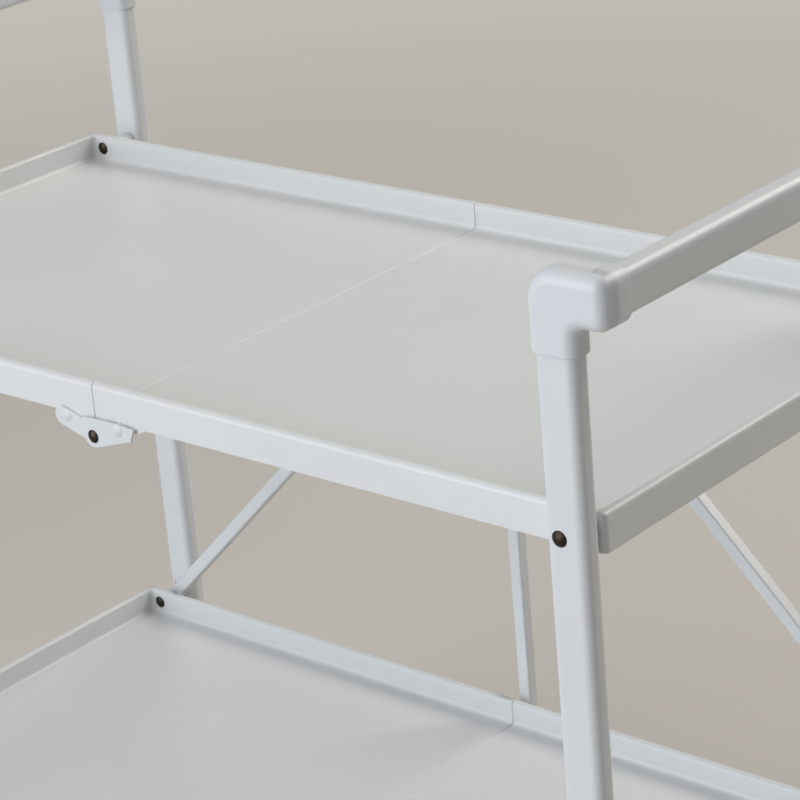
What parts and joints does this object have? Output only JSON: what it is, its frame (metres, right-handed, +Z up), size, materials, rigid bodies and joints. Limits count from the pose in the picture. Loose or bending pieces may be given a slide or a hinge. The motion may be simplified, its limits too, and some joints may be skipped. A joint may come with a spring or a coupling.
{
  "type": "folding bar cart",
  "caption": "Two-tier bar cart with rimmed steel trays that fold up at centre hinges, end frames with tube handles on moulded elbows, back braces and swivel casters.",
  "frame": {"origin": "on the floor, in the middle of the outer box of the cart as it stands open", "axes": "+X along the trays to the right, +Y from the front to the back with the braces, +Z up"},
  "size_m": [0.953, 0.5156, 0.86],
  "materials": {
    "white_powder_coat": "satin powder coat",
    "white_moulded_plastic": "fine moulded texture",
    "dark_bronze_rivet": "dark bronze, semi-gloss",
    "zinc_plated_steel": "zinc plated",
    "grey_wheel_plastic": "moulded"
  },
  "bodies": {
    "left_frame": {"left_front_leg": "white_powder_coat", "left_back_leg": "white_powder_coat", "left_front_elbow": "white_moulded_plastic", "left_back_elbow": "white_moulded_plastic", "left_handle": "white_powder_coat", "left_crossbar": "white_powder_coat", "left_foot_plugs": "white_moulded_plastic", "left_pivot_rivets": "dark_bronze_rivet", "left_pivot_spacers": "white_moulded_plastic"},
    "upper_left_tray": {"upper_left_tray_pan": "white_powder_coat", "upper_left_hinge_brackets": "white_powder_coat", "upper_left_hinge_leaves": "white_powder_coat", "upper_left_leaf_rivets": "white_powder_coat", "upper_hinge_pins": "dark_bronze_rivet", "upper_hinge_spacer": "white_moulded_plastic"},
    "lower_left_tray": {"lower_left_tray_pan": "white_powder_coat", "lower_left_hinge_brackets": "white_powder_coat", "lower_left_hinge_leaves": "white_powder_coat", "lower_left_leaf_rivets": "white_powder_coat", "lower_hinge_pins": "dark_bronze_rivet", "lower_hinge_spacer": "white_moulded_plastic"},
    "left_front_caster": {"left_front_caster_fork": "white_moulded_plastic", "left_front_caster_axle": "zinc_plated_steel"},
    "left_front_wheel": {"left_front_caster_wheel": "grey_wheel_plastic"},
    "left_back_caster": {"left_back_caster_fork": "white_moulded_plastic", "left_back_caster_axle": "zinc_plated_steel"},
    "left_back_wheel": {"left_back_caster_wheel": "grey_wheel_plastic"},
    "right_frame": {"right_front_leg": "white_powder_coat", "right_back_leg": "white_powder_coat", "right_front_elbow": "white_moulded_plastic", "right_back_elbow": "white_moulded_plastic", "right_handle": "white_powder_coat", "right_crossbar": "white_powder_coat", "right_foot_plugs": "white_moulded_plastic", "right_pivot_rivets": "dark_bronze_rivet", "right_pivot_spacers": "white_moulded_plastic"},
    "upper_right_tray": {"upper_right_tray_pan": "white_powder_coat", "upper_right_hinge_brackets": "white_powder_coat", "upper_right_hinge_leaves": "white_powder_coat", "upper_right_leaf_rivets": "white_powder_coat"},
    "lower_right_tray": {"lower_right_tray_pan": "white_powder_coat", "lower_right_hinge_brackets": "white_powder_coat", "lower_right_hinge_leaves": "white_powder_coat", "lower_right_leaf_rivets": "white_powder_coat"},
    "right_front_caster": {"right_front_caster_fork": "white_moulded_plastic", "right_front_caster_axle": "zinc_plated_steel"},
    "right_front_wheel": {"right_front_caster_wheel": "grey_wheel_plastic"},
    "right_back_caster": {"right_back_caster_fork": "white_moulded_plastic", "right_back_caster_axle": "zinc_plated_steel"},
    "right_back_wheel": {"right_back_caster_wheel": "grey_wheel_plastic"},
    "strut": {"back_strut": "white_powder_coat"},
    "collar": {"brace_collar": "white_moulded_plastic", "collar_studs": "dark_bronze_rivet"},
    "left_brace": {"left_brace": "white_powder_coat"},
    "right_brace": {"right_brace": "white_powder_coat"}
  },
  "joints": [
    {"name": "fold", "type": "hinge", "parent": "left_frame", "child": "upper_left_tray", "pos_m": [-0.4304, -0.011, 0.6834], "axis": [0, -1, 0], "range_deg": [0, 86]},
    {"name": "upper_centre_hinge", "type": "hinge", "parent": "upper_left_tray", "child": "upper_right_tray", "pos_m": [0, -0.011, 0.6555], "axis": [0, -1, 0], "range_deg": [-172, 0]},
    {"name": "upper_right_pivot", "type": "hinge", "parent": "upper_right_tray", "child": "right_frame", "pos_m": [0.4304, -0.011, 0.6834], "axis": [0, -1, 0], "range_deg": [0, 86]},
    {"name": "lower_left_pivot", "type": "hinge", "parent": "left_frame", "child": "lower_left_tray", "pos_m": [-0.4304, -0.011, 0.2257], "axis": [0, -1, 0], "range_deg": [0, 86]},
    {"name": "lower_right_pivot", "type": "hinge", "parent": "right_frame", "child": "lower_right_tray", "pos_m": [0.4304, -0.011, 0.2257], "axis": [0, -1, 0], "range_deg": [-86, 0]},
    {"name": "strut_top_pivot", "type": "hinge", "parent": "upper_left_tray", "child": "strut", "pos_m": [0, -0.011, 0.6555], "axis": [0, -1, 0], "range_deg": [-86, 0]},
    {"name": "left_brace_pivot", "type": "hinge", "parent": "left_frame", "child": "left_brace", "pos_m": [-0.4304, -0.011, 0.2257], "axis": [0, -1, 0], "range_deg": [0, 41.03]},
    {"name": "right_brace_pivot", "type": "hinge", "parent": "right_frame", "child": "right_brace", "pos_m": [0.4304, -0.011, 0.2257], "axis": [0, -1, 0], "range_deg": [-41.03, 0]},
    {"name": "collar_slide", "type": "slide", "parent": "strut", "child": "collar", "axis": [0, 0, -1], "range_m": [0, 0.28532]},
    {"name": "left_front_swivel", "type": "hinge", "parent": "left_frame", "child": "left_front_caster", "pos_m": [-0.4341, -0.24625, 0.06], "axis": [0, 0, 1], "continuous": true},
    {"name": "left_front_roll", "type": "hinge", "parent": "left_front_caster", "child": "left_front_wheel", "pos_m": [-0.4341, -0.22925, 0.025], "axis": [1, 0, 0], "continuous": true},
    {"name": "left_back_swivel", "type": "hinge", "parent": "left_frame", "child": "left_back_caster", "pos_m": [-0.4341, 0.24625, 0.06], "axis": [0, 0, 1], "continuous": true},
    {"name": "left_back_roll", "type": "hinge", "parent": "left_back_caster", "child": "left_back_wheel", "pos_m": [-0.4341, 0.22925, 0.025], "axis": [1, 0, 0], "continuous": true},
    {"name": "right_front_swivel", "type": "hinge", "parent": "right_frame", "child": "right_front_caster", "pos_m": [0.4341, -0.24625, 0.06], "axis": [0, 0, 1], "continuous": true},
    {"name": "right_front_roll", "type": "hinge", "parent": "right_front_caster", "child": "right_front_wheel", "pos_m": [0.4341, -0.22925, 0.025], "axis": [1, 0, 0], "continuous": true},
    {"name": "right_back_swivel", "type": "hinge", "parent": "right_frame", "child": "right_back_caster", "pos_m": [0.4341, 0.24625, 0.06], "axis": [0, 0, 1], "continuous": true},
    {"name": "right_back_roll", "type": "hinge", "parent": "right_back_caster", "child": "right_back_wheel", "pos_m": [0.4341, 0.22925, 0.025], "axis": [1, 0, 0], "continuous": true}
  ],
  "couplings": [
    {"joint": "upper_centre_hinge", "follows": "fold", "ratio": -2},
    {"joint": "upper_right_pivot", "follows": "fold", "ratio": 1},
    {"joint": "lower_left_pivot", "follows": "fold", "ratio": 1},
    {"joint": "lower_right_pivot", "follows": "fold", "ratio": -1},
    {"joint": "strut_top_pivot", "follows": "fold", "ratio": -1},
    {"joint": "left_brace_pivot", "follows": "fold", "ratio": 0.47711},
    {"joint": "right_brace_pivot", "follows": "fold", "ratio": -0.47711},
    {"joint": "collar_slide", "follows": "fold", "m_per_rad": 0.19009}
  ]
}
